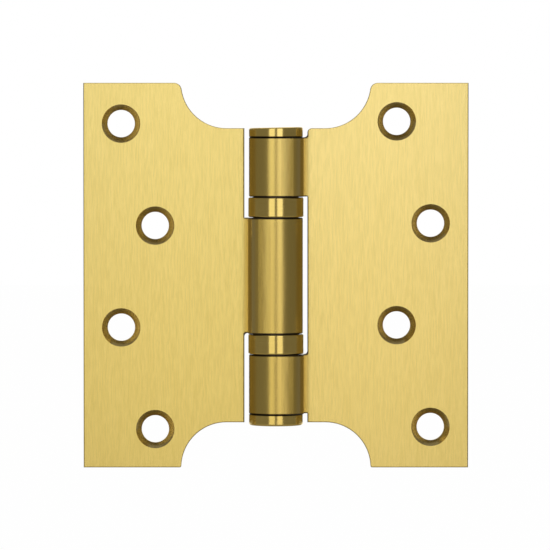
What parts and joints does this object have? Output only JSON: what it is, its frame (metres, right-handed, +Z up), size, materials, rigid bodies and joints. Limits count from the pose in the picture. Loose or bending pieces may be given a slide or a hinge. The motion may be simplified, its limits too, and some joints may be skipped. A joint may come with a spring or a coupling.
{
  "type": "parliament hinge",
  "caption": "Square projecting door hinge with scooped leaves, rolled knuckles, capped pin and thrust ball bearings.",
  "frame": {"origin": "middle of the hinge on the pin axis, which is also the centre of its box when it lies open", "axes": "+Z up along the pin axis, -Y out of the countersunk faces of the open leaves, +X across the frame leaf"},
  "size_m": [0.102, 0.0146, 0.102],
  "materials": {
    "satin_brass": "satin, brushed along the height",
    "turned_brass": "satin, turned",
    "pin_steel": "ground",
    "race_steel": "ground, hardened",
    "ball_steel": "polished, hardened",
    "cage_brass": "plain pressed"
  },
  "bodies": {
    "root": {"frame_leaf": "satin_brass", "hinge_pin": "pin_steel", "top_cap": "turned_brass", "bottom_cap": "turned_brass", "upper_frame_race": "race_steel", "lower_frame_race": "race_steel"},
    "door": {"door_leaf": "satin_brass", "upper_shell": "turned_brass", "upper_door_race": "race_steel", "lower_shell": "turned_brass", "lower_door_race": "race_steel"},
    "upper_ball_set": {"upper_cage": "cage_brass", "upper_balls": "ball_steel"},
    "lower_ball_set": {"lower_cage": "cage_brass", "lower_balls": "ball_steel"}
  },
  "joints": [
    {"name": "leaf_hinge", "type": "hinge", "parent": "root", "child": "door", "pos_m": [0, 0, 0], "axis": [0, 0, 1], "range_deg": [-125, 180]},
    {"name": "upper_ball_roll", "type": "hinge", "parent": "root", "child": "upper_ball_set", "pos_m": [0, 0, 0.0181], "axis": [0, 0, 1], "range_deg": [-62.5, 90]},
    {"name": "lower_ball_roll", "type": "hinge", "parent": "root", "child": "lower_ball_set", "pos_m": [0, 0, -0.0181], "axis": [0, 0, 1], "range_deg": [-62.5, 90]}
  ],
  "couplings": [
    {"joint": "upper_ball_roll", "follows": "leaf_hinge", "ratio": 0.5},
    {"joint": "lower_ball_roll", "follows": "leaf_hinge", "ratio": 0.5}
  ]
}
